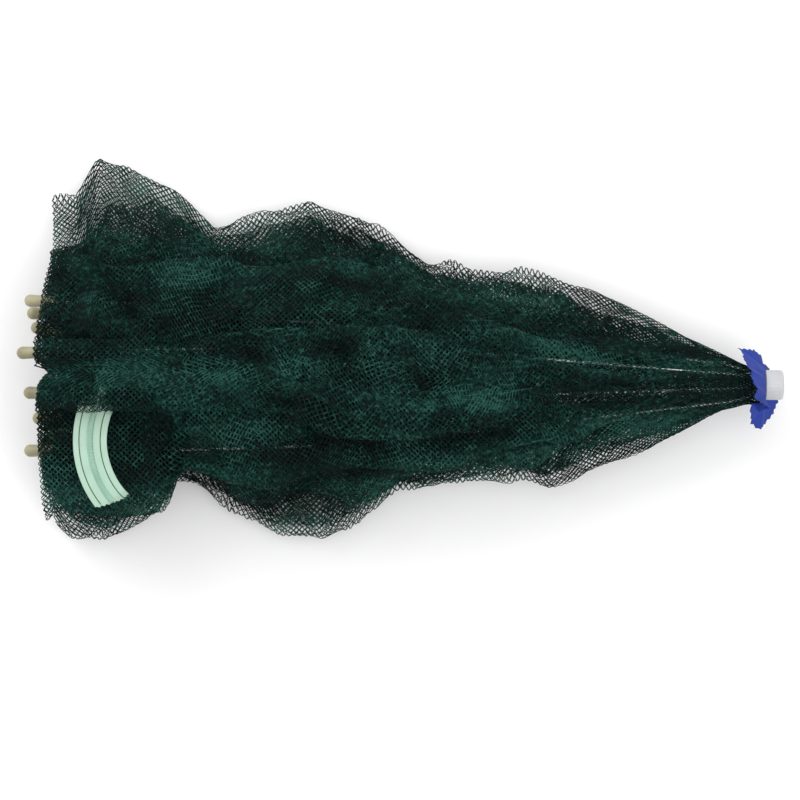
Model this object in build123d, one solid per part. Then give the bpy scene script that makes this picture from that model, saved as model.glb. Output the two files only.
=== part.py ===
from build123d import *
from math import cos, radians, sin
import os

# Folding umbrella crab trap, folded flat. Millimetres, +Z up, hub at +X, rib tips at -X.

# hub axis, parallel to X
AXIS_Y = -25.4
AXIS_Z = 53.63

# crown: the white hub that carries the rib hinges
CAP_D = 24.0
BARREL_D = 21.0
CAP_END = 306.8
SHOULDER = 292.8
BARREL_END = 275.0
SLOT_END = 289.4
SLOT_W = 3.2
SLOT_FLOOR = 6.2
ROPE_BORE_D = 6.0
PIVOT_X = 285.0
PIVOT_R = 9.0
RING_WIRE_D = 1.2

# ribs and stretchers
RIB_COUNT = 8
FIRST_AZIMUTH = 11.25
RIB_D = 2.5
FOLD_ANGLE = 8.0
HINGE_TO_CLIP = 195.0
RIB_OFFSET = 4.0
RIB_BELLY = 8.0
EYE_D = 5.0
EYE_T = 2.2
EYE_HOLE_D = 1.7
STRETCHER_D = 2.4
CAP_TIP_D = 10.0
CAP_TIP_L = 24.0
WALL_PIN_D = 1.5

# where each rib tip ends: X and Y of the cap's rounded end, and its height above the hub axis
TIPS = [
    (-301.5, 42.3, 7.0),
    (-306.8, 0.1, 16.0),
    (-301.3, -31.5, 15.0),
    (-301.9, -78.1, 5.0),
    (-287.0, -64.0, -15.0),
    (-298.2, -52.0, -24.0),
    (-299.8, 21.8, -27.0),
    (-301.3, 32.7, -11.0),
]

# net shell: stations along X, cover thickness, and clearance outside a rib
STATIONS = [266.0, 200.0, 110.0, 0.0, -60.0, -120.0, -180.0, -240.0, -274.0]
NET_CLEAR = 6.0
NET_T = 3.0
SEAM_GAP = 1.2
# how far the two side folds lie out from the hub axis, and their height from it, at each station
UPPER_FOLD = [19.0, 54.0, 82.0, 108.0, 136.0, 128.0, 150.0, 178.4, 150.0]
LOWER_FOLD = [19.0, 48.0, 78.0, 84.0, 118.0, 108.0, 84.0, 127.6, 104.0]
UPPER_FOLD_Z = [-5.0, -11.0, -21.0, -33.0, -37.0, -39.0, -39.0, -39.0, -37.0]
LOWER_FOLD_Z = [4.0, 1.0, -7.0, -21.0, -27.0, -31.0, -35.0, -37.0, -37.0]

# zip across the net, on an arc lying level
ZIP_CENTRE = (-172.8, -69.6)
ZIP_Z = AXIS_Z + 42.0
ZIP_GORE = 2
ZIP_R = 73.4
ZIP_FROM = 150.0
ZIP_TO = 226.0
TAPE_W = 12.4
TAPE_GAP = 0.8
TAPE_T = 0.9

os.makedirs("parts", exist_ok=True)


def save(shape, name):
    export_step(shape, f"parts/{name}.step")


def azimuth(k):
    return FIRST_AZIMUTH + 360.0 / RIB_COUNT * k


def at(x, r, az, side=0.0):
    """Point at station x, radius r along azimuth az, moved sideways across that azimuth."""
    a = radians(az)
    y = AXIS_Y + r * cos(a) - side * sin(a)
    z = AXIS_Z + r * sin(a) + side * cos(a)
    return Vector(x, y, z)


def outward(az):
    return Vector(0, cos(radians(az)), sin(radians(az)))


def tangent(az):
    return Vector(0, -sin(radians(az)), cos(radians(az)))


def rod_x(x0, x1, radius):
    base = Plane(origin=(x0, AXIS_Y, AXIS_Z), z_dir=(1, 0, 0))
    return extrude(base * Circle(radius), x1 - x0)


def ring(x, r, wire_d):
    loop = Plane(origin=(x, AXIS_Y, AXIS_Z), z_dir=(1, 0, 0))
    return loop * Torus(r, wire_d / 2)


def slotted(x_open, x_floor):
    """Radial slots from the open end x_open to the floor x_floor, one for each rib."""
    cuts = []
    for k in range(RIB_COUNT):
        mid = at((x_open + x_floor) / 2, SLOT_FLOOR + 5, azimuth(k))
        plane = Plane(origin=mid, x_dir=outward(azimuth(k)), z_dir=(1, 0, 0))
        cuts.append(plane * Box(10, SLOT_W, abs(x_open - x_floor)))
    return cuts


def cut_all(body, tools):
    for tool in tools:
        body = body - tool
    return body


# crown ------------------------------------------------------------
crown = rod_x(BARREL_END, SHOULDER, BARREL_D / 2)
cap = rod_x(SHOULDER, CAP_END, CAP_D / 2)
cap = fillet(cap.edges().filter_by(GeomType.CIRCLE).sort_by(Axis.X)[-1:], 2.2)
crown = crown + cap
crown = cut_all(crown, slotted(BARREL_END - 1, SLOT_END))
crown = crown - rod_x(BARREL_END - 1, CAP_END + 1, ROPE_BORE_D / 2)
crown = crown - ring(PIVOT_X, PIVOT_R, RING_WIRE_D + 0.3)
for i in range(24):
    flute = at(SHOULDER + 6.6, CAP_D / 2 + 1.15, i * 15.0)
    flute_plane = Plane(origin=flute, z_dir=(1, 0, 0))
    crown = crown - flute_plane * Cylinder(1.4, 8.4)
save(crown, "crown")
save(ring(PIVOT_X, PIVOT_R, RING_WIRE_D), "crown_ring")

binding = rod_x(289.8, 291.0, BARREL_D / 2 + 1.3) - rod_x(289, 292, BARREL_D / 2 + 0.1)
save(binding, "neck_binding")

# fabric washer: a shallow dished disc between the binding and the cap
washer_lines = Polyline(
    (291.3, BARREL_D / 2 + 0.3),
    (292.5, BARREL_D / 2 + 0.3),
    (291.5, 36.0),
    (290.3, 36.0),
    close=True,
)
washer_face = make_face(washer_lines)
washer = revolve(washer_face, Axis.X, 360)
washer = Pos(0, AXIS_Y, AXIS_Z) * washer
save(washer, "fabric_washer")

# runner -----------------------------------------------------------
RUNNER_PIVOT_X = PIVOT_X - 2 * HINGE_TO_CLIP * cos(radians(FOLD_ANGLE))
runner = rod_x(RUNNER_PIVOT_X - 14, RUNNER_PIVOT_X + 8, BARREL_D / 2)
runner = runner + rod_x(RUNNER_PIVOT_X - 16, RUNNER_PIVOT_X - 6, CAP_D / 2)
runner = cut_all(runner, slotted(RUNNER_PIVOT_X + 9, RUNNER_PIVOT_X - 4.4))
runner = runner - rod_x(RUNNER_PIVOT_X - 17, RUNNER_PIVOT_X + 10, ROPE_BORE_D / 2)
runner = runner - ring(RUNNER_PIVOT_X, PIVOT_R, RING_WIRE_D + 0.3)
save(runner, "runner")
save(ring(RUNNER_PIVOT_X, PIVOT_R, RING_WIRE_D), "runner_ring")


def clip_pivot(k):
    f = radians(FOLD_ANGLE)
    return at(PIVOT_X - HINGE_TO_CLIP * cos(f), PIVOT_R + HINGE_TO_CLIP * sin(f), azimuth(k))


def fold_dir(k):
    """Direction from the crown hinge to the clip hinge."""
    return (clip_pivot(k) - at(PIVOT_X, PIVOT_R, azimuth(k))).normalized()


def fold_normal(k):
    """Outward direction square to fold_dir."""
    return fold_dir(k).cross(tangent(azimuth(k))).normalized()


def eye(centre, k):
    disc = Plane(origin=centre, z_dir=tangent(azimuth(k))) * Cylinder(EYE_D / 2, EYE_T)
    return disc


def eye_hole(centre, k):
    return Plane(origin=centre, z_dir=tangent(azimuth(k))) * Cylinder(EYE_HOLE_D / 2, EYE_T + 1)


def tip_base(k):
    """Where the rib's centreline ends, inside its cap, and its direction there."""
    x, y, height = TIPS[k]
    end = Vector(x, y, AXIS_Z + height)
    start = clip_pivot(k) + fold_normal(k) * RIB_OFFSET
    chord = (end - start).normalized()
    lean = (chord * 1.5 - fold_dir(k) * 0.5).normalized()
    return end - lean * 6, lean


def spring_curve(k):
    """Free part of rib k beyond its clip, drawn in by the net."""
    past = clip_pivot(k) + fold_dir(k) * 8 + fold_normal(k) * RIB_OFFSET
    end, lean = tip_base(k)
    belly = past + (end - past) * 0.4 + outward(azimuth(k)) * RIB_BELLY
    return Spline(past, belly, end, tangents=[fold_dir(k), lean])


for k in range(RIB_COUNT):
    az = azimuth(k)
    hinge = at(PIVOT_X, PIVOT_R, az)
    clip_at = clip_pivot(k)
    d = fold_dir(k)
    n = fold_normal(k)

    # rib: eye, a short step outward, a straight run past the clip, then a long spring curve
    near = hinge + d * 12 + n * RIB_OFFSET * 0.6
    run = hinge + d * 24 + n * RIB_OFFSET
    past = clip_at + d * 8 + n * RIB_OFFSET
    corners = [hinge + d * 1.6, near, run, past]
    rib = sweep(Plane(origin=past, z_dir=d) * Circle(RIB_D / 2), path=spring_curve(k))
    for a, b in zip(corners, corners[1:]):
        rib = rib + extrude(Plane(origin=a, z_dir=b - a) * Circle(RIB_D / 2), (b - a).length)
    for corner in (near, run):
        rib = rib + Pos(corner) * Sphere(RIB_D / 2)
    rib = rib + eye(hinge, k)
    rib = rib - eye_hole(hinge, k)
    save(rib, f"rib_{k}")

    # moulded cap on the rib tip: slight taper, round end, blind bore
    end, lean = tip_base(k)
    cap_plane = Plane(origin=end + lean * 6, z_dir=lean * -1)
    r = CAP_TIP_D / 2
    half = make_face(
        Line((0, 0), (CAP_TIP_L, 0))
        + Line((CAP_TIP_L, 0), (CAP_TIP_L, r * 0.86))
        + Line((CAP_TIP_L, r * 0.86), (r, r))
        + RadiusArc((r, r), (0, 0), -r)
    )
    tip = revolve(half, Axis.X, 360)
    tip = cap_plane * (Rot(0, -90, 0) * tip)
    bore_base = Plane(origin=end + lean * 0.4, z_dir=lean * -1)
    tip = tip - extrude(bore_base * Circle(RIB_D / 2 + 0.5), CAP_TIP_L)
    save(tip, f"tip_{k}")

    # clip: sleeve round the rib with two ears and a moulded pin
    sleeve = Plane(origin=clip_at + n * RIB_OFFSET, z_dir=d) * Cylinder(RIB_D / 2 + 1.1, 9)
    t = tangent(az)
    for side in (-1, 1):
        ear_at = clip_at + t * side * (EYE_T / 2 + 0.9) + n * 0.4
        ear = Plane(origin=ear_at, x_dir=d, z_dir=t) * Box(5.2, 5.6, 1.2)
        sleeve = sleeve + ear
    sleeve = sleeve - Plane(origin=clip_at, x_dir=d, z_dir=t) * Cylinder(3.0, EYE_T + 0.6)
    rod_hole = Plane(origin=clip_at + n * RIB_OFFSET, z_dir=d) * Cylinder(RIB_D / 2 + 0.1, 12)
    clip = sleeve - rod_hole
    clip = clip + Plane(origin=clip_at, z_dir=t) * Cylinder(WALL_PIN_D / 2, EYE_T + 2.8)
    save(clip, f"clip_{k}")

    # stretcher: straight rod from the clip pin to the runner ring
    foot = at(RUNNER_PIVOT_X, PIVOT_R, az)
    s = (foot - clip_at).normalized()
    shaft = extrude(
        Plane(origin=clip_at + s * 1.6, z_dir=s) * Circle(STRETCHER_D / 2 - 0.15),
        HINGE_TO_CLIP - 3.2,
    )
    stretcher = shaft + eye(clip_at, k) + eye(foot, k)
    stretcher = stretcher - eye_hole(clip_at, k) - eye_hole(foot, k)
    save(stretcher, f"stretcher_{k}")


# net --------------------------------------------------------------
def rib_point(k, x):
    """Centre of rib k at station x, following its straight run and then its curve."""
    n = fold_normal(k)
    past = clip_pivot(k) + fold_dir(k) * 8 + n * RIB_OFFSET
    if x > past.X:
        hinge = at(PIVOT_X, PIVOT_R, azimuth(k)) + n * RIB_OFFSET
        share = (hinge.X - x) / (hinge.X - past.X)
        return hinge + (past - hinge) * share
    curve = spring_curve(k)
    low, high = 0.0, 1.0
    for _ in range(24):
        mid = (low + high) / 2
        if (curve @ mid).X > x:
            low = mid
        else:
            high = mid
    return curve @ low


def flat_rib_point(k, x):
    """rib_point put exactly on the plane of station x."""
    p = rib_point(k, x)
    return Vector(x, p.Y, p.Z)


def under_zip(k, x):
    """The net between ribs lies lower where the zip crosses over it."""
    return k == ZIP_GORE and x < -150


def fold_reach(k, i):
    """Outer edge of the net between ribs k and k + 1 at station i, as (Y, Z) off the hub axis."""
    x = STATIONS[i]
    a = flat_rib_point(k, x)
    b = flat_rib_point((k + 1) % RIB_COUNT, x)
    mid = (a + b) / 2
    if k == RIB_COUNT - 1:
        return Vector(x, AXIS_Y + UPPER_FOLD[i], AXIS_Z + UPPER_FOLD_Z[i])
    if k == 3:
        return Vector(x, AXIS_Y - LOWER_FOLD[i], AXIS_Z + LOWER_FOLD_Z[i])
    off = Vector(0, mid.Y - AXIS_Y, mid.Z - AXIS_Z)
    slack = -4 if under_zip(k, x) else 2
    return mid + off.normalized() * (NET_CLEAR + NET_T + slack)


def half_net(k, i, side):
    """Section of the net beside rib k (side 0) or beside rib k + 1 (side 1)."""
    x = STATIONS[i]
    a = flat_rib_point(k, x)
    b = flat_rib_point((k + 1) % RIB_COUNT, x)
    mine = a if side == 0 else b
    other = b if side == 0 else a
    axis = Vector(x, AXIS_Y, AXIS_Z)
    away = (mine - axis).normalized()
    across = (other - mine).normalized()
    mid = (a + b) / 2
    outer = fold_reach(k, i)
    reach = (outer - mid).normalized()
    back = across * -1
    back = (back - reach * back.dot(reach)).normalized()
    low = 0.35 if under_zip(k, x) else 0.8
    inner_mid = mid + reach * NET_CLEAR * low + back * SEAM_GAP / 2
    outer_mid = outer + back * SEAM_GAP / 2
    outer_side = outer - reach * 2 + back * (SEAM_GAP / 2 + 2.0)
    inner_rib = mine + away * NET_CLEAR + across * 0.6
    outer_rib = inner_rib + away * NET_T
    if under_zip(k, x):
        outer_side = outer_mid + (outer_rib - outer_mid) * 0.1
    return [inner_rib, inner_mid, outer_mid, outer_side, outer_rib]


def triangle(a, b, c):
    return Face(Wire.make_polygon([a, b, c], close=True))


def shell_through(sections):
    """Closed solid through sections that have the same number of corners."""
    count = len(sections[0])
    faces = [Face(Wire.make_polygon(sections[0], close=True))]
    faces.append(Face(Wire.make_polygon(sections[-1], close=True)))
    for first, second in zip(sections, sections[1:]):
        for i in range(count):
            j = (i + 1) % count
            faces.append(triangle(first[i], first[j], second[i]))
            faces.append(triangle(first[j], second[j], second[i]))
    return Solid(Shell(faces))


for k in range(RIB_COUNT):
    for side, name in ((0, "net_near"), (1, "net_far")):
        sections = [half_net(k, i, side) for i in range(len(STATIONS))]
        save(shell_through(sections), f"{name}_{k}")


# zip --------------------------------------------------------------
def arc_band(r0, r1, a0, a1, z0, z1):
    """Flat curved band between two radii and two angles about the zip's centre."""
    cx, cy = ZIP_CENTRE

    def spot(r, a):
        return (cx + r * cos(radians(a)), cy + r * sin(radians(a)))

    mid = (a0 + a1) / 2
    outline = (
        ThreePointArc(spot(r0, a0), spot(r0, mid), spot(r0, a1))
        + Line(spot(r0, a1), spot(r1, a1))
        + ThreePointArc(spot(r1, a1), spot(r1, mid), spot(r1, a0))
        + Line(spot(r1, a0), spot(r0, a0))
    )
    return extrude(Plane.XY.offset(z0) * make_face(outline), z1 - z0)


gap = TAPE_GAP / 2
tape_in = arc_band(ZIP_R - gap - TAPE_W, ZIP_R - gap, ZIP_FROM, ZIP_TO, ZIP_Z, ZIP_Z + TAPE_T)
tape_out = arc_band(ZIP_R + gap, ZIP_R + gap + TAPE_W, ZIP_FROM, ZIP_TO, ZIP_Z, ZIP_Z + TAPE_T)
save(tape_in, "zip_tape_inner")
save(tape_out, "zip_tape_outer")
coil_z = ZIP_Z + TAPE_T
coil = arc_band(ZIP_R - 2.1, ZIP_R + 2.1, ZIP_FROM + 2, ZIP_TO - 2, coil_z, coil_z + 1.4)
for end_angle in (ZIP_FROM + 1.1, ZIP_TO - 1.1):
    coil = coil + arc_band(
        ZIP_R - 2.3, ZIP_R + 2.3, end_angle - 1, end_angle + 1, coil_z, coil_z + 1.8
    )
save(coil, "zip_coil")

slider_angle = ZIP_FROM + 5
low, high = slider_angle - 2.8, slider_angle + 4
slider = arc_band(ZIP_R - 4.2, ZIP_R + 4.2, low, high, coil_z + 0.3, coil_z + 3.4)
slider = slider - arc_band(
    ZIP_R - 2.5, ZIP_R + 2.5, slider_angle - 5, slider_angle + 5, coil_z - 1, coil_z + 1.8
)
low, high = slider_angle - 2.4, slider_angle + 3
bridge = arc_band(ZIP_R - 1.0, ZIP_R + 1.0, low, high, coil_z + 3.4, coil_z + 6.2)
pull_angle = radians(slider_angle)
radial_dir = Vector(cos(pull_angle), sin(pull_angle), 0)
travel_dir = Vector(-sin(pull_angle), cos(pull_angle), 0)
pull_pin = Vector(ZIP_CENTRE[0], ZIP_CENTRE[1], coil_z + 4.8) + radial_dir * ZIP_R
bridge = bridge - Plane(origin=pull_pin, z_dir=radial_dir) * Cylinder(0.9, 8)
slider = slider + bridge
save(slider, "zip_slider")

wire = Plane(origin=pull_pin, z_dir=radial_dir) * Cylinder(0.6, 6.0)
pull = wire
for side in (-1, 1):
    arm_mid = pull_pin + radial_dir * side * 2.6 - travel_dir * 2.6
    arm = Plane(origin=arm_mid, x_dir=radial_dir, z_dir=(0, 0, 1)) * Box(1.2, 6.0, 1.2)
    pull = pull + arm
plate_at = pull_pin - travel_dir * 8.4
plate = Plane(origin=plate_at, x_dir=radial_dir, z_dir=(0, 0, 1)) * Box(6.4, 7.0, 1.2)
pull = pull + plate
save(pull, "zip_pull")
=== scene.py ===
import math

import bpy
import numpy as np
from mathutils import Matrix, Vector


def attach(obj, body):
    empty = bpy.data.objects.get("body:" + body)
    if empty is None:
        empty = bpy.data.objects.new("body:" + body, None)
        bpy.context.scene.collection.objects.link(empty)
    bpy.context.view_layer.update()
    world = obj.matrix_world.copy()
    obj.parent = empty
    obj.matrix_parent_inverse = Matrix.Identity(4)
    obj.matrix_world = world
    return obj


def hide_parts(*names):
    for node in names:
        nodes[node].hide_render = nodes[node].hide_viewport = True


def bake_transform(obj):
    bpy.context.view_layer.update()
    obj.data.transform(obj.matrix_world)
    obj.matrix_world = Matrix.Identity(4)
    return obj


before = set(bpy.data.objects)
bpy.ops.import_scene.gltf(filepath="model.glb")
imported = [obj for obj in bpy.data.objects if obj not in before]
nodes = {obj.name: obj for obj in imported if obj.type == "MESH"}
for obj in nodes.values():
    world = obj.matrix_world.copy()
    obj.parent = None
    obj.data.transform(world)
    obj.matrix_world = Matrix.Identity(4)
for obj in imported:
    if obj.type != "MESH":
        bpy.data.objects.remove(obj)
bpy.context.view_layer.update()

# Lengths are in millimetres and angles in degrees unless a line says otherwise.
MM = 0.001
# the hub axis runs along X at this Y and Z
AXIS_Y = -25.4
AXIS_Z = 53.63
RIBS = 8


def rising(x, start, run):
    """0 up to x = start, 1 from start + run on."""
    return min(max((x - start) / run, 0), 1)


def falling(x, start, run):
    """0 down to x = start, 1 from start - run down."""
    return min(max((start - x) / run, 0), 1)


# ---------------------------------------------------------------- materials
def new_material(name, base, roughness):
    """Principled material, with its node tree and its shader node."""
    mat = bpy.data.materials.new(name)
    mat.use_nodes = True
    tree = mat.node_tree
    shader = tree.nodes["Principled BSDF"]
    shader.inputs["Base Color"].default_value = (*base, 1)
    shader.inputs["Roughness"].default_value = roughness
    return mat, tree, shader


def coords(tree, scale=(1, 1, 1)):
    """Object coordinates in metres, scaled."""
    tex = tree.nodes.new("ShaderNodeTexCoord")
    mapping = tree.nodes.new("ShaderNodeMapping")
    mapping.inputs["Scale"].default_value = scale
    tree.links.new(tex.outputs["Object"], mapping.inputs["Vector"])
    return mapping.outputs["Vector"]


def noise(tree, vector, scale, detail):
    n = tree.nodes.new("ShaderNodeTexNoise")
    n.inputs["Scale"].default_value = scale
    n.inputs["Detail"].default_value = detail
    tree.links.new(vector, n.inputs["Vector"])
    return n.outputs["Fac"]


def wave(tree, vector, scale, direction, distortion):
    w = tree.nodes.new("ShaderNodeTexWave")
    w.bands_direction = direction
    w.inputs["Scale"].default_value = scale
    w.inputs["Distortion"].default_value = distortion
    tree.links.new(vector, w.inputs["Vector"])
    return w.outputs["Fac"]


def ramp(tree, fac, stops):
    """Colour ramp through (place, colour) stops."""
    r = tree.nodes.new("ShaderNodeValToRGB")
    r.color_ramp.elements[0].position = stops[0][0]
    r.color_ramp.elements[0].color = (*stops[0][1], 1)
    r.color_ramp.elements[1].position = stops[-1][0]
    r.color_ramp.elements[1].color = (*stops[-1][1], 1)
    for place, colour in stops[1:-1]:
        r.color_ramp.elements.new(place).color = (*colour, 1)
    tree.links.new(fac, r.inputs["Fac"])
    return r.outputs["Color"]


def bump(tree, shader, height, strength, distance):
    """Relief on the shader's normal; distance is in metres."""
    b = tree.nodes.new("ShaderNodeBump")
    b.inputs["Strength"].default_value = strength
    b.inputs["Distance"].default_value = distance
    tree.links.new(height, b.inputs["Height"])
    tree.links.new(b.outputs["Normal"], shader.inputs["Normal"])


def spread(tree, fac, low, high):
    """Map 0 to 1 onto low to high."""
    m = tree.nodes.new("ShaderNodeMapRange")
    m.inputs["To Min"].default_value = low
    m.inputs["To Max"].default_value = high
    tree.links.new(fac, m.inputs["Value"])
    return m.outputs["Result"]


def maths(tree, operation, first, second):
    """Maths node; first is a socket and second a socket or a number."""
    m = tree.nodes.new("ShaderNodeMath")
    m.operation = operation
    tree.links.new(first, m.inputs[0])
    if isinstance(second, float):
        m.inputs[1].default_value = second
    else:
        tree.links.new(second, m.inputs[1])
    return m.outputs[0]


# painted shade, the cord's own green and a greyish painted highlight, with their places on the ramp
NET_STOPS = [
    (0.33, (0.0008, 0.007, 0.0055)),
    (0.52, (0.0026, 0.026, 0.0195)),
    (0.73, (0.020, 0.092, 0.069)),
]


def net_material(name, shade):
    """Green knitted cord: long blotches of painted shade for the fold valleys over a fine speckle
    of painted highlights and painted shade; shade scales every colour, and below 1 it paints shade.
    """
    mat, tree, sh = new_material(name, (0.004 * shade, 0.036 * shade, 0.026 * shade), 0.5)
    v = coords(tree)
    lengthwise = coords(tree, (0.3, 1, 1))
    # long blotches stretched along X: painted shade of the fold valleys
    painted_fold_shade = spread(tree, noise(tree, lengthwise, 30, 3), -0.55, 0.55)
    # fine speckle on top: painted highlights and painted shade on the strands
    mixed = maths(tree, "ADD", painted_fold_shade, noise(tree, v, 300, 2))
    stops = [(place, tuple(c * shade for c in colour)) for place, colour in NET_STOPS]
    tree.links.new(ramp(tree, mixed, stops), sh.inputs["Base Color"])
    tree.links.new(spread(tree, noise(tree, v, 900, 2), 0.38, 0.62), sh.inputs["Roughness"])
    sh.inputs["Sheen Weight"].default_value = 0.01
    sh.inputs["Specular IOR Level"].default_value = 0.09
    return mat


def rod_material():
    """Dull drawn steel with streaks along the rod."""
    mat, tree, sh = new_material("rib_steel", (0.55, 0.56, 0.54), 0.32)
    v = coords(tree)
    stops = [(0.35, (0.42, 0.43, 0.41)), (0.7, (0.68, 0.69, 0.67))]
    colour = ramp(tree, noise(tree, v, 120, 4), stops)
    tree.links.new(colour, sh.inputs["Base Color"])
    sh.inputs["Metallic"].default_value = 0.85
    tree.links.new(spread(tree, noise(tree, v, 700, 2), 0.22, 0.45), sh.inputs["Roughness"])
    bump(tree, sh, noise(tree, coords(tree, (40, 400, 400)), 5, 2), 0.25, 0.0002)
    return mat


def plastic_material(name, dark, light, roughness, grain=300):
    """Mottled surface between two colours, with a fine grain."""
    mat, tree, sh = new_material(name, light, roughness)
    v = coords(tree)
    colour = ramp(tree, noise(tree, v, 55, 3), [(0.3, dark), (0.7, light)])
    tree.links.new(colour, sh.inputs["Base Color"])
    tree.links.new(
        spread(tree, noise(tree, v, grain, 3), roughness - 0.08, roughness + 0.12),
        sh.inputs["Roughness"],
    )
    bump(tree, sh, noise(tree, v, grain * 3, 2), 0.12, 0.0002)
    return mat


def weave_material(name, dark, light, threads, roughness=0.8, strength=0.5):
    """Plain weave: two crossed sets of threads for colour and relief."""
    mat, tree, sh = new_material(name, light, roughness)
    v = coords(tree)
    crossed = maths(tree, "ADD", wave(tree, v, threads, "X", 0.4), wave(tree, v, threads, "Y", 0.4))
    relief = maths(tree, "MULTIPLY", crossed, 0.5)
    mixed = maths(tree, "ADD", spread(tree, noise(tree, v, 60, 4), -0.3, 0.3), relief)
    colour = ramp(tree, mixed, [(0.1, dark), (0.9, light)])
    tree.links.new(colour, sh.inputs["Base Color"])
    sh.inputs["Sheen Weight"].default_value = 0.02
    bump(tree, sh, relief, strength, 0.0003)
    return mat


NET = net_material("net_green", 1.0)
# darkened copy of the net for the linings: painted shade of the inner layers
NET_PAINTED_SHADE = net_material("net_green_painted_shade", 0.35)
STEEL = rod_material()
WHITE = plastic_material("hub_white", (0.46, 0.46, 0.47), (0.57, 0.57, 0.59), 0.34)
KHAKI = plastic_material("tip_khaki", (0.24, 0.22, 0.13), (0.40, 0.37, 0.23), 0.42)
DARK = plastic_material("clip_dark", (0.03, 0.03, 0.03), (0.06, 0.06, 0.06), 0.4)
PAINT = plastic_material("slider_paint", (0.18, 0.35, 0.28), (0.26, 0.45, 0.37), 0.35)
BLUE = weave_material("washer_blue", (0.004, 0.020, 0.20), (0.013, 0.055, 0.43), 900)
TAPE = weave_material("zip_tape_mint", (0.30, 0.47, 0.36), (0.48, 0.66, 0.53), 700, 0.75, 0.35)
COIL = plastic_material("zip_coil_mint", (0.32, 0.55, 0.43), (0.42, 0.66, 0.52), 0.45)
THREAD = plastic_material("thread_green", (0.008, 0.035, 0.028), (0.02, 0.07, 0.055), 0.6, 1500)
CORD = plastic_material("cord_green", (0.008, 0.045, 0.034), (0.02, 0.09, 0.07), 0.65, 1200)


def dress(obj, mat):
    """Give a CAD piece one material."""
    obj.data.materials.clear()
    obj.data.materials.append(mat)


# faces that meet at more than this stay sharp on the moulded pieces
SHARP_EDGE = 35

for name, obj in nodes.items():
    if name.startswith(("rib_", "stretcher_")) or name.endswith("_ring"):
        dress(obj, STEEL)
    elif name.startswith("tip_"):
        dress(obj, KHAKI)
    elif name.startswith("clip_"):
        dress(obj, DARK)
    elif name in ("crown", "runner"):
        dress(obj, WHITE)
    elif name in ("zip_slider", "zip_pull"):
        dress(obj, PAINT)
    elif name == "neck_binding":
        dress(obj, CORD)
    else:
        dress(obj, NET)
    for poly in obj.data.polygons:
        poly.use_smooth = True
    if name.startswith(("tip_", "crown", "runner", "clip_", "zip_")):
        edge = obj.modifiers.new("edges", "EDGE_SPLIT")
        edge.split_angle = math.radians(SHARP_EDGE)


def new_mesh(name, verts, faces, mat):
    """Smooth-shaded mesh object in the scene, with one material."""
    mesh = bpy.data.meshes.new(name)
    mesh.from_pydata(verts, [], faces)
    obj = bpy.data.objects.new(name, mesh)
    bpy.context.scene.collection.objects.link(obj)
    obj.data.materials.append(mat)
    mesh.polygons.foreach_set("use_smooth", [True] * len(mesh.polygons))
    return obj


# ---------------------------------------------------------------- ribs as the net meets them
NET_END = -292.0
RIB_EYE = 276
RIB_CUTS = 72


def rib_line(k):
    """Centreline of rib k as (x, y, z) rows, from its CAD mesh."""
    mesh = nodes[f"rib_{k}"].data
    co = np.array([v.co for v in mesh.vertices]) * 1000  # metres to millimetres
    ends = co[np.array([e.vertices[:] for e in mesh.edges])]
    rows = []
    for x in np.linspace(NET_END, RIB_EYE, RIB_CUTS):
        a, b = ends[:, 0], ends[:, 1]
        hit = (a[:, 0] - x) * (b[:, 0] - x) < 0
        if hit.sum() >= 4:  # enough cut edges to find the middle of the section
            t = (x - a[hit, 0]) / (b[hit, 0] - a[hit, 0])
            cut = a[hit] + (b[hit] - a[hit]) * t[:, None]
            rows.append((cut.min(0) + cut.max(0)) / 2)
    return np.array(rows)


LINES = [rib_line(k) for k in range(RIBS)]


def rib_yz(k, x):
    """Y and Z of rib k's centreline at station x."""
    line = LINES[k % RIBS]
    return np.array([np.interp(x, line[:, 0], line[:, 1]), np.interp(x, line[:, 0], line[:, 2])])


# ---------------------------------------------------------------- the folded net
# the zip's arc: centre in X and Y, radius, first and last angle, height, and the gore under it
ZIP_C = np.array([-172.8, -69.6])
ZIP_R = 73.4
ZIP_FROM, ZIP_TO = 150.0, 226.0
ZIP_Z = AXIS_Z + 42.0
ZIP_GORE = 2
# the net lies flat within about this distance of the arc
ZIP_CALM = 24

# stations of SIDE_Z, from the crown to the tips
AT = [280, 240, 200, 160, 120, 80, 30, -20, -60, -100, -140, -180, -215, -240, -262, -290]
# outer edges of the two side folds as (X, Y), seen from above
TOP_EDGE = [
    (-290, 118), (-283, 120), (-262, 126), (-244, 159), (-206, 143), (-181, 131), (-150, 101),
    (-118, 108), (-100, 115), (-72, 124), (-55, 113), (-32, 109), (-5, 92), (22, 71),
    (80, 66), (122, 61), (172, 44), (200, 30), (233, 12), (280, -11),
]
LOW_EDGE = [
    (-290, -112), (-280, -136), (-268, -148), (-241, -152), (-219, -140), (-195, -128),
    (-181, -101), (-161, -105), (-131, -126), (-95, -148), (-63, -148), (-40, -138),
    (-1, -112), (35, -104), (100, -101), (121, -109), (172, -87), (200, -76), (225, -64),
    (257, -46), (280, -40),
]
TOP_X, TOP_Y = zip(*TOP_EDGE)
LOW_X, LOW_Y = zip(*LOW_EDGE)

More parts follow.
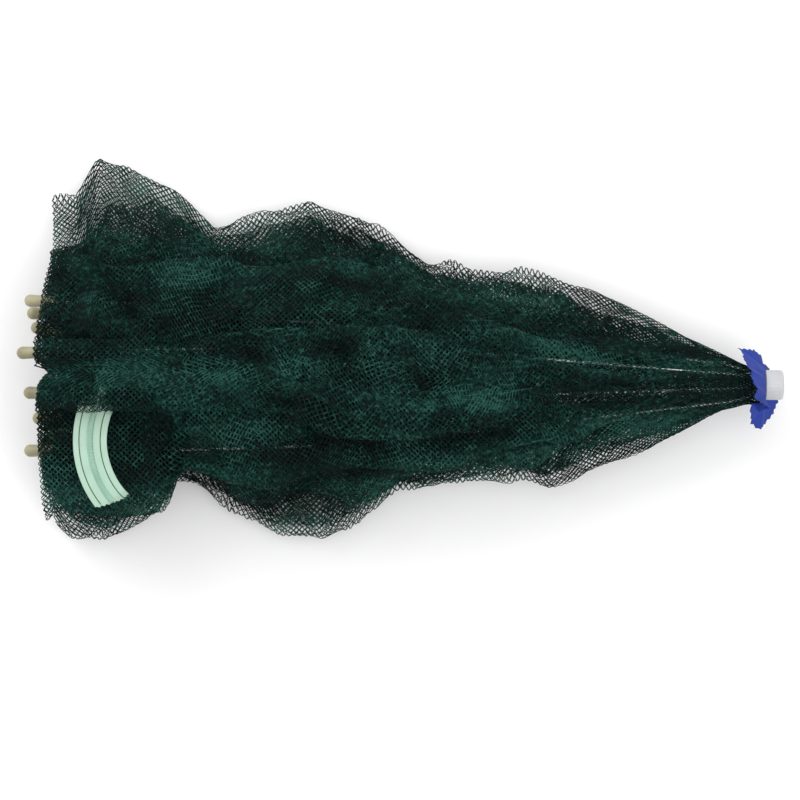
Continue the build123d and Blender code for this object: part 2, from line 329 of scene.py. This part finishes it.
# pleats of each gore from rib k to rib k + 1: which of the two ribs a pleat's edge is measured
# from, how far it lies out in Y and in Z where it is widest, and how its edge waves
PLEATS = {
    0: [(0, 68, -30, 0.3), (0, -10, 15, 1.0), (0, 36, 0, 2.2), (1, 8, 13, 3.0)],
    1: [(0, 26, 2, 0.5), (1, -26, 9, 2.0), (0, 13, 13, 4.1), (1, -13, 5, 1.2), (1, 9, 11, 5.2)],
    2: [(1, -58, -22, 1.1), (1, 14, 13, 2.4), (0, -2, 5, 3.6), (1, -28, 15, 0.4)],
    4: [(0, -58, -20, 0.8), (1, 4, -9, 2.6), (0, -20, -24, 4.4)],
    5: [(0, -32, -6, 1.7), (1, 26, -5, 0.2), (0, -8, -6, 3.3)],
    6: [(1, 66, -16, 2.9), (1, -10, -18, 0.9), (1, 32, -14, 5.0)],
}
# where those pleat edges lie near the zip: gore 2 carries it, gore 1 laps over its upper end
NEAR_ZIP = {
    1: [(27, 86), (-44, 105), (12, 99), (-47, 109), (-8, 97)],
    2: [(-112, 58), (-70, 84), (-18, ZIP_Z - 1.6), (-130, ZIP_Z - 1.6)],
}
# gores 7 and 3 make the two side folds: the height of the fold at each station, where it ends
# at the tips, how far it stands out from the edge above, and how much its lining tucks in there
SIDE_Z = {
    7: [52, 46, 40, 34, 28, 24, 20, 16, 14, 13, 12, 12, 12, 12, 12, 13],
    3: [56, 52, 48, 42, 34, 28, 22, 18, 16, 15, 14, 13, 13, 13, 14, 16],
}
SIDE_END = {7: -281, 3: -279}
SIDE_OUT = {7: 3, 3: -1}
SIDE_TUCK = {7: 0.34, 3: 0.12}
# where the net ends over the tips, seen from above
RIM_Y = [-153, -144, -121, -87, -53, -26, -14, -5, 16, 48, 75, 102, 131, 159]
RIM_X = [-245, -276, -284, -288, -289, -287, -277, -291, -290, -287, -281, -282, -284, -245]

# rows along and columns across each gore's surface
ROWS = 150
COLS = 72
# where the net and its lining begin at the crown
NECK = 288.5
LINING_NECK = 282.0

# wavelength along X and height of each size of wrinkle
WRINKLES = ((95, 5.5), (54, 4.0), (31, 1.9), (19, 0.8))
# how far the net lies off a rib's centreline, with what odd gores, the tight part of the ribs
# and the rib eyes change in it, and how far a gore laps past its ribs
COVER = 2.2
COVER_ODD = 0.7
COVER_TIGHT = 0.85
COVER_EYES = 1.4
LAP = 5
# pleats keep this far inside the outer edges, and further in at the upper corner
EDGE_MARGIN = 9
CORNER = 26
# a lining's distance inside the net, less near the crown, and its share of the pleats' depth
INSET = 7.0
INSET_NECK = 3.5
LINING_DEPTH = 0.72
LINING_SIDE = 0.88
# lowest height of the net's surface above the floor
FLOOR_GAP = 0.9


def wobble(k, layer, u, x):
    """Soft wrinkles, in millimetres, zero at the ribs and small near the crown."""
    out = np.zeros_like(u)
    r = np.random.default_rng(100 + 10 * k + layer)
    for n, (size, amp) in enumerate(WRINKLES):
        a, b, c = r.uniform(0, 2 * math.pi, 3)
        tilt = r.uniform(-0.6, 0.6)
        out += amp * np.sin(2 * math.pi * x / size + a + 3 * tilt * u * 6) * np.sin(
            2 * math.pi * u * (2.2 + 1.6 * n) + b + c * x / 300
        )
    calm = np.clip((262 - x) / 170, 0.03, 1)
    edge = np.clip(np.minimum(u, 1 - u) / 0.08, 0, 1)
    return out * calm * edge


def smooth_path(points, count):
    """Rounded path through the corners, evenly spaced by length."""
    pts = np.array(points, float)
    for _ in range(3):
        q = pts[:-1] * 0.75 + pts[1:] * 0.25
        r = pts[:-1] * 0.25 + pts[1:] * 0.75
        mid = np.empty((2 * len(q), 2))
        mid[0::2] = q
        mid[1::2] = r
        pts = np.vstack([pts[:1], mid[1:-1], pts[-1:]])
    step = np.r_[0, np.cumsum(np.linalg.norm(np.diff(pts, axis=0), axis=1))]
    s = np.linspace(0, step[-1], count)
    return np.c_[np.interp(s, step, pts[:, 0]), np.interp(s, step, pts[:, 1])], step[-1]


def fullness(x):
    """How much a pleat has opened out at station x: 0 at the crown, 1 from the middle on."""
    f = falling(x, 272, 250)
    return f * f * (3 - 2 * f) ** 0.7


def over_zip(x):
    """1 where the net carries the zip, 0 well away from it."""
    f = falling(x, -172, 40)
    return f * f * (3 - 2 * f)


def corners(k, x, inset):
    """Corners of gore k's section at station x; a lining keeps inset millimetres inside."""
    rib_a = rib_yz(k, x)
    rib_b = rib_yz(k + 1, x)
    axis = np.array([AXIS_Y, AXIS_Z])
    out_a = (rib_a - axis) / np.linalg.norm(rib_a - axis)
    out_b = (rib_b - axis) / np.linalg.norm(rib_b - axis)
    across = (rib_b - rib_a) / np.linalg.norm(rib_b - rib_a)
    full = fullness(x)
    # drawn tight over the ribs between the crown and the middle
    tight = rising(x, 40, 60) * falling(x, 250, 30)
    over_eyes = COVER_EYES * rising(x, 245, 20)
    cover = COVER + COVER_ODD * (k % 2) * full - COVER_TIGHT * tight + over_eyes - inset
    lap = 0 if inset else LAP * full
    a = rib_a + out_a * cover - across * lap
    b = rib_b + out_b * cover + across * lap
    folds = []
    if k in SIDE_Z:
        edge_x, edge_y = (TOP_X, TOP_Y) if k == 7 else (LOW_X, LOW_Y)
        seen = NECK + (SIDE_END[k] - NECK) * (NECK - x) / (NECK - NET_END)
        y = np.interp(seen, edge_x, edge_y)
        y += SIDE_OUT[k] * full
        folds.append(np.array([y, np.interp(-x, -np.array(AT), SIDE_Z[k])]))
    else:
        near = over_zip(x)
        for n, (which, dy, dz, phase) in enumerate(PLEATS[k]):
            base, radial = (rib_b, out_b) if which else (rib_a, out_a)
            wave_y = 1 + 0.25 * math.sin(x / 46 + phase) + 0.12 * math.sin(x / 19 + 2 * phase)
            shift = np.array([dy * wave_y + 8 * math.sin(x / 58 + 2 * phase), dz])
            flat = a + (b - a) * (n + 1) / (len(PLEATS[k]) + 1)
            fold = (base + shift) * full + flat * (1 - full) + radial * (1 - full)
            # only the side fold itself reaches into the upper corner at the tips
            corner = CORNER * falling(x, -195, 35)
            fold[0] = min(fold[0], np.interp(x, TOP_X, TOP_Y) - EDGE_MARGIN - corner)
            fold[0] = max(fold[0], np.interp(x, LOW_X, LOW_Y) + EDGE_MARGIN)
            if k in NEAR_ZIP:
                fold = fold * (1 - near) + np.array(NEAR_ZIP[k][n]) * near
            folds.append(fold)
    if inset:
        mid = (a + b) / 2
        depth = LINING_DEPTH
        if k in SIDE_Z:
            depth = LINING_SIDE - 0.16 * rising(x, 90, 70) - SIDE_TUCK[k] * falling(x, -180, 40)
        folds = [mid + (f - mid) * depth for f in folds]
    # a corner given three times keeps its place when the path is rounded
    out = [a]
    for f in folds:
        out += [f, f, f]
    return out + [b]


def gore_grid(k, lining=False):
    """Surface of one gore: its positions, its width at each row and its length."""
    grid = np.zeros((ROWS, COLS, 3))
    widths = np.zeros(ROWS)
    xs = np.linspace(LINING_NECK if lining else NECK, NET_END, ROWS)
    u = np.linspace(0, 1, COLS)
    rim_path, _ = smooth_path(corners(k, NET_END, 0), COLS)
    rim = np.interp(rim_path[:, 0], RIM_Y, RIM_X)
    for j, x in enumerate(xs):
        inset = INSET - INSET_NECK * rising(x, 200, 60) if lining else 0.0
        path, widths[j] = smooth_path(corners(k, x, inset), COLS)
        tangent = np.gradient(path, axis=0)
        normal = np.c_[-tangent[:, 1], tangent[:, 0]]
        normal /= np.linalg.norm(normal, axis=1)[:, None] + 1e-9
        if lining:
            x_here = xs[0] + (rim - xs[0]) * ((xs[0] - x) / (xs[0] - NET_END))
        else:
            x_here = NECK + (rim - NECK) * (NECK - x) / (NECK - NET_END)
        ripple = wobble(k, int(lining), u, x_here)
        if k == ZIP_GORE:
            off = np.hypot(x_here - ZIP_C[0], path[:, 0] - ZIP_C[1]) - ZIP_R
            near = over_zip(x) * np.exp(-((off / ZIP_CALM) ** 4))
            ripple = ripple * (1 - 0.95 * near * (path[:, 1] > ZIP_Z - 8))
        path = path + normal * ripple[:, None]
        path[:, 1] = np.maximum(path[:, 1], FLOOR_GAP)
        grid[j, :, 0] = x_here
        grid[j, :, 1:] = path
    length = np.linalg.norm(np.diff(grid, axis=0), axis=2).mean()
    return grid, widths, length * (ROWS - 1)


def sample(grid, u, v):
    """Bilinear sample of a grid at u (across) and v (along), both 0 to 1."""
    fu = np.clip(u, 0, 1) * (COLS - 1)
    fv = np.clip(v, 0, 1) * (ROWS - 1)
    i = np.minimum(fu.astype(int), COLS - 2)
    j = np.minimum(fv.astype(int), ROWS - 2)
    a = (fu - i)[:, None]
    b = (fv - j)[:, None]
    top = grid[j, i] * (1 - a) + grid[j, i + 1] * a
    low = grid[j + 1, i] * (1 - a) + grid[j + 1, i + 1] * a
    return top * (1 - b) + low * b


# cross-section of a strand, in units of its radius: a low ridge, seen from both sides
STRAND_SECTION = ((-1.1, -0.35), (0.0, 0.75), (1.1, -0.35))
# cells in one piece of a lining's strand; the outer net's points are doubled, so its count is too
STRAND_CELLS = 14
# cell across, cell along and strand radius
NET_CELL = (2.27, 2.52, 0.39)
LINING_CELL = (2.6, 2.9, 0.50)


def strand_along(points, normals, radius):
    """Ridge-shaped strand along the points, standing on the sheet."""
    n = len(points)
    tangent = np.gradient(points, axis=0)
    tangent /= np.linalg.norm(tangent, axis=1)[:, None] + 1e-12
    side = np.cross(normals, tangent)
    side /= np.linalg.norm(side, axis=1)[:, None] + 1e-12
    up = np.cross(tangent, side)
    ring = [points + (side * p + up * q) * radius for p, q in STRAND_SECTION]
    verts = np.stack(ring, 1).reshape(-1, 3)
    base = np.arange(n - 1)[:, None] * 3
    quads = [np.hstack([base + c, base + c + 1, base + c + 4, base + c + 3]) for c in (0, 1)]
    return verts, np.vstack(quads)


def net_piece(name, k, grid, widths, length, lining):
    """Net of zigzag strands mapped onto a gore's surface.

    The outer net is knitted: neighbouring strands run side by side at each knot, which leaves
    six-sided holes.
    """
    across, along, radius = LINING_CELL if lining else NET_CELL
    rows = int(length / along)
    half = widths / 2
    reach = int(half.max() / across) + 1
    gv = np.linspace(0, 1, ROWS)
    gather = np.clip((NECK - grid[:, COLS // 2, 0]) / 170, 0.4, 1)
    jitter = np.random.default_rng(500 + k)
    verts, faces, weights = [], [], []
    count = 0
    for col in range(-reach, reach):
        j = np.arange(rows + 1)
        right = (j + col) % 2
        s = (col + right) * across + jitter.normal(0, 0.16, rows + 1)
        j = j + jitter.normal(0, 0.05, rows + 1)
        if not lining:
            s = np.repeat(s - (right - 0.5) * 0.62, 2)
            j = np.repeat(j, 2) + np.tile([-0.2, 0.2], rows + 1)
        v = np.clip(j / rows, 0, 1)
        w_here = np.interp(v, gv, half)
        s = s * np.interp(v, gv, gather)
        keep = np.abs(s) <= w_here + across * 0.5
        u = np.clip(0.5 + s / (2 * w_here), 0, 1)
        cells = STRAND_CELLS if lining else 2 * STRAND_CELLS
        runs = np.flatnonzero(np.diff(np.r_[False, keep, False].astype(int)))
        spans = []
        for a, b in zip(runs[0::2], runs[1::2]):
            stops = [*range(a, b - 4, cells), b - 1]
            spans += [(c, d + 1) for c, d in zip(stops, stops[1:])]
        for a, b in spans:
            uu, vv = u[a:b], v[a:b]
            p = sample(grid, uu, vv)
            du = sample(grid, uu + 0.012, vv) - sample(grid, uu - 0.012, vv)
            dv = sample(grid, uu, vv + 0.006) - sample(grid, uu, vv - 0.006)
            nrm = np.cross(du, dv)
            nrm /= np.linalg.norm(nrm, axis=1)[:, None] + 1e-9
            tv, tf = strand_along(p, nrm, radius)
            verts.append(tv)
            faces.append(tf + count)
            weights.append(np.repeat(uu, 3))
            count += len(tv)
    verts = np.vstack(verts) * MM
    faces = np.vstack(faces)
    mesh = bpy.data.meshes.new(name)
    mesh.vertices.add(len(verts))
    mesh.vertices.foreach_set("co", verts.astype(np.float32).ravel())
    mesh.loops.add(len(faces) * 4)
    mesh.loops.foreach_set("vertex_index", faces.astype(np.int32).ravel())
    mesh.polygons.add(len(faces))
    mesh.polygons.foreach_set("loop_start", np.arange(len(faces), dtype=np.int32) * 4)
    mesh.update(calc_edges=True)
    # linings take the darkened copy of the net: painted shade
    mesh.materials.append(NET_PAINTED_SHADE if lining else NET)
    obj = bpy.data.objects.new(name, mesh)
    bpy.context.scene.collection.objects.link(obj)
    weights = np.concatenate(weights)
    if k == ZIP_GORE:
        # weights for the half that carries the zip, which nothing here uses
        weights = np.clip(weights / 0.5, 0, 1)
    set_blend(obj)
    return obj


def set_blend(obj):
    """Bake a piece's transform into its mesh."""
    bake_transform(obj)


for k in range(RIBS):
    for lining in (False, True):
        grid, widths, length = gore_grid(k, lining)
        name = f"net_lining_{k}" if lining else f"net_gore_{k}"
        obj = net_piece(name, k, grid, widths, length, lining)
        if not lining:
            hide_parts(f"net_near_{k}", f"net_far_{k}")


# ---------------------------------------------------------------- fabric washer
# rim of the crumpled cloth as (angle, X, Y, Z), going round from the +Y side over the top
WASHER_RIM = [
    (-70, 296, -17, 20), (-48, 298.5, -14, 30), (-36, 297, -11, 35), (-26, 290.5, -5, 41),
    (-12, 288, -1, 48), (0, 284, 2.5, 52), (12, 278, 3.2, 56), (20, 270.5, 3.9, 58),
    (32, 273.5, -2, 66), (50, 277, -10, 76), (70, 278, -15, 84), (90, 280, -22, 88),
    (110, 282, -28.5, 88), (124, 282.5, -36, 83), (139, 294, -44, 77), (149, 284, -47, 72),
    (161, 281.5, -40, 66), (170, 281, -49, 60), (180, 281, -56, 55), (190, 287, -61, 50),
    (205, 294, -57, 44), (220, 300, -48, 36), (235, 304.4, -38, 30), (255, 302, -30, 22),
    (275, 298, -25, 17), (290, 296, -17, 20),
]


def washer():
    """Circle of pinked cloth pushed over the barrel and crumpled."""
    around, rings, teeth = 432, 30, 54
    inner, outer = 10.9, 37.5
    hub_x = 291.9  # where the hole sits on the barrel
    table = np.array(WASHER_RIM, float)
    verts, faces, weights = [], [], []
    for side in (0, 1):
        for j in range(rings + 1):
            f = j / rings
            for i in range(around):
                a = 2 * math.pi * i / around
                deg = (math.degrees(a) + 70) % 360 - 70
                radial = np.array([0, math.cos(a), math.sin(a)])
                start = np.array([hub_x, AXIS_Y, AXIS_Z]) + radial * inner
                rim = np.array([np.interp(deg, table[:, 0], table[:, c]) for c in (1, 2, 3)])
                if j >= rings - 1:
                    tooth = abs(((i / around * teeth) % 1) - 0.5) * 2
                    out = (rim - start) / np.linalg.norm(rim - start)
                    rim = rim + out * (tooth - 0.5) * 1.7 * (1 if j == rings else 0.35)
                turn = start + radial * 5
                p = start * (1 - f) ** 2 + turn * 2 * f * (1 - f) + rim * f * f
                pucker = 0.9 * f * math.sin(9 * a + 2.6 * f + 1.0)
                pucker += 0.5 * f * math.sin(17 * a + 0.4)
                p[0] += pucker + 0.35 * (side * 2 - 1)
                verts.append(tuple(p * MM))
                # weights for the upper half of the rim, which nothing here uses
                weights.append(f * np.interp(deg, [-50, -10, 85, 150], [0, 1, 1, 0]))
    layer = (rings + 1) * around
    for j in range(rings):
        for i in range(around):
            n = (i + 1) % around
            a, b = j * around + i, j * around + n
            c, d = a + around, b + around
            faces.append((a, b, d, c))
            faces.append((layer + a, layer + c, layer + d, layer + b))
    for row in (0, rings):
        for i in range(around):
            n = (i + 1) % around
            a, b = row * around + i, row * around + n
            quad = (a, b, layer + b, layer + a)
            faces.append(quad if row == rings else quad[::-1])
    obj = new_mesh("washer_cloth", verts, faces, BLUE)
    set_blend(obj)
    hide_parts("fabric_washer")


washer()


# ---------------------------------------------------------------- zip
TAPE_INNER_EDGE = 0.3
TAPE_OUTER_EDGE = 13.4
TAPE_THICKNESS = 0.62
COIL_TURNS = 76
COIL_STEPS = 12
COIL_WIRE = 0.00042  # metres
STITCH = 2.1
STITCH_THREAD = 0.00034  # metres


def zip_point(r, deg, z):
    """Point in metres at a radius and angle about the zip's centre."""
    a = math.radians(deg)
    return ((ZIP_C[0] + r * math.cos(a)) * MM, (ZIP_C[1] + r * math.sin(a)) * MM, z * MM)


def tape_wave(r, deg):
    """How far the tape lies above its level, with both ends dipping under the net."""
    dip = max(0.0, 161 - deg) ** 1.5 * 0.22 + max(0.0, deg - 219) ** 1.5 * 0.25
    return 0.5 * math.sin(math.radians(deg) * 9 + (r - ZIP_R) * 0.12) + 0.02 * (r - ZIP_R) - dip


def tape_end(r):
    """Angle where the tape is cut off, slanting across its width."""
    return ZIP_TO - 0.32 * (r - ZIP_R + 12.8)


def tape(name, r0, r1, node):
    """Closed strip of woven tape from radius r0 to r1."""
    along, across = 150, 14
    verts, faces = [], []
    for side in (0, 1):
        for j in range(along + 1):
            for i in range(across + 1):
                r = r0 + (r1 - r0) * i / across
                last = tape_end(r) - 0.5 * math.sin(r * 1.7)
                deg = ZIP_FROM + (last - ZIP_FROM) * j / along
                rib = 0.06 * math.sin(i * math.pi)
                z = ZIP_Z + 0.1 + side * TAPE_THICKNESS + tape_wave(r, deg) + rib
                verts.append(zip_point(r, deg, z))
    layer = (along + 1) * (across + 1)
    for j in range(along):
        for i in range(across):
            a = j * (across + 1) + i
            b, c, d = a + 1, a + across + 1, a + across + 2
            faces.append((a, b, d, c))
            faces.append((layer + a, layer + c, layer + d, layer + b))
    for j in range(along):
        for i in (0, across):
            a = j * (across + 1) + i
            c = a + across + 1
            quad = (a, c, layer + c, layer + a)
            faces.append(quad if i else quad[::-1])
    for j in (0, along):
        for i in range(across):
            a = j * (across + 1) + i
            quad = (a, a + 1, layer + a + 1, layer + a)
            faces.append(quad if j else quad[::-1])
    obj = new_mesh(name, verts, faces, TAPE)
    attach(obj, "gore_2")
    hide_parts(node)


tape("zip_cloth_inner", ZIP_R - TAPE_OUTER_EDGE, ZIP_R - TAPE_INNER_EDGE, "zip_tape_inner")
tape("zip_cloth_outer", ZIP_R + TAPE_INNER_EDGE, ZIP_R + TAPE_OUTER_EDGE, "zip_tape_outer")


def tube_mesh(name, points, radius, mat, sides):
    """Closed tube with flat ends along the points, all in metres."""
    pts = np.array(points, float)
    tangent = np.gradient(pts, axis=0)
    tangent /= np.linalg.norm(tangent, axis=1)[:, None] + 1e-12
    up = np.tile([0.0, 0.0, 1.0], (len(pts), 1))
    up[np.abs(tangent[:, 2]) > 0.9] = (0, 1, 0)
    side = np.cross(up, tangent)
    side /= np.linalg.norm(side, axis=1)[:, None] + 1e-12
    up = np.cross(tangent, side)
    verts, faces = [], []
    for n in range(len(pts)):
        for c in range(sides):
            a = 2 * math.pi * c / sides
            verts.append(tuple(pts[n] + (side[n] * math.cos(a) + up[n] * math.sin(a)) * radius))
    for n in range(len(pts) - 1):
        for c in range(sides):
            d = (c + 1) % sides
            faces.append((n * sides + c, n * sides + d, (n + 1) * sides + d, (n + 1) * sides + c))
    faces.append(tuple(range(sides))[::-1])
    faces.append(tuple((len(pts) - 1) * sides + c for c in range(sides)))
    return new_mesh(name, verts, faces, mat)


def zip_coil():
    """Spiral coil of the chain, with its turns close together."""
    points = []
    steps = COIL_TURNS * COIL_STEPS
    for n in range(steps + 1):
        deg = ZIP_FROM + 2 + (ZIP_TO - ZIP_FROM - 7) * n / steps
        phase = 2 * math.pi * n / COIL_STEPS
        r = ZIP_R + 2.0 * math.cos(phase)
        z = ZIP_Z + 1.45 + 0.62 * math.sin(phase) + tape_wave(ZIP_R, deg)
        points.append(zip_point(r, deg, z))
    obj = tube_mesh("zip_coil_turns", points, COIL_WIRE, COIL, 5)
    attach(obj, "gore_2")
    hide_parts("zip_coil")


zip_coil()


def stitches(name, r):
    """Row of sewing stitches through the tape."""
    pieces_v, pieces_f = [], []
    step = STITCH / r * 180 / math.pi
    deg = ZIP_FROM + 0.6
    while deg < tape_end(r) - step:
        pts = []
        for n in range(5):
            f = n / 4
            z = ZIP_Z + 0.80 + 0.22 * math.sin(math.pi * f) + tape_wave(r, deg + step * f)
            pts.append(zip_point(r, deg + step * 0.94 * f, z))
        obj = tube_mesh("tmp", pts, STITCH_THREAD, THREAD, 5)
        base = len(pieces_v)
        pieces_v += [tuple(v.co) for v in obj.data.vertices]
        pieces_f += [tuple(base + i for i in p.vertices) for p in obj.data.polygons]
        bpy.data.objects.remove(obj)
        deg += step
    obj = new_mesh(name, pieces_v, pieces_f, THREAD)
    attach(obj, "gore_2")


stitches("zip_stitches_inner", ZIP_R - 8.2)
stitches("zip_stitches_outer", ZIP_R + 8.6)

# ---------------------------------------------------------------- floor, light, camera
bpy.ops.mesh.primitive_plane_add(size=6, location=(0, 0, -0.0005))
floor = bpy.context.object
floor.name = "floor"
floor_mat, _, _ = new_material("floor_pale", (0.93, 0.93, 0.93), 0.9)
floor.data.materials.append(floor_mat)

world = bpy.data.worlds.new("studio")
bpy.context.scene.world = world
world.use_nodes = True
world.node_tree.nodes["Background"].inputs["Color"].default_value = (1, 1, 1, 1)
world.node_tree.nodes["Background"].inputs["Strength"].default_value = 0.72


def area_light(name, place, size, power):
    """Square light of a size in metres and a power in watts, facing the origin."""
    data = bpy.data.lights.new(name, "AREA")
    data.size = size
    data.energy = power
    obj = bpy.data.objects.new(name, data)
    obj.location = place
    obj.rotation_euler = (Vector((0, 0, 0)) - Vector(place)).to_track_quat("-Z", "Y").to_euler()
    bpy.context.scene.collection.objects.link(obj)


area_light("key", (-0.9, 1.1, 1.2), 1.3, 17)
area_light("fill", (0.9, -0.7, 1.5), 1.4, 9)
area_light("top", (0.1, 0.0, 2.2), 1.6, 10)

# the camera looks straight down, and its field has the photograph's width at about the height
# of the hub axis; all but the sensor are in metres
CAMERA_HEIGHT = 3.0
SCALE_HEIGHT = 0.055
FIELD = 0.6421
SENSOR = 36

cam_data = bpy.data.cameras.new("camera")
cam = bpy.data.objects.new("camera", cam_data)
bpy.context.scene.collection.objects.link(cam)
cam.location = (-0.0007, -0.0374, CAMERA_HEIGHT)
cam.rotation_euler = (0, 0, 0)
cam_data.sensor_width = SENSOR
cam_data.lens = SENSOR * (CAMERA_HEIGHT - SCALE_HEIGHT) / FIELD
bpy.context.scene.camera = cam

bpy.context.scene.view_settings.view_transform = "Standard"
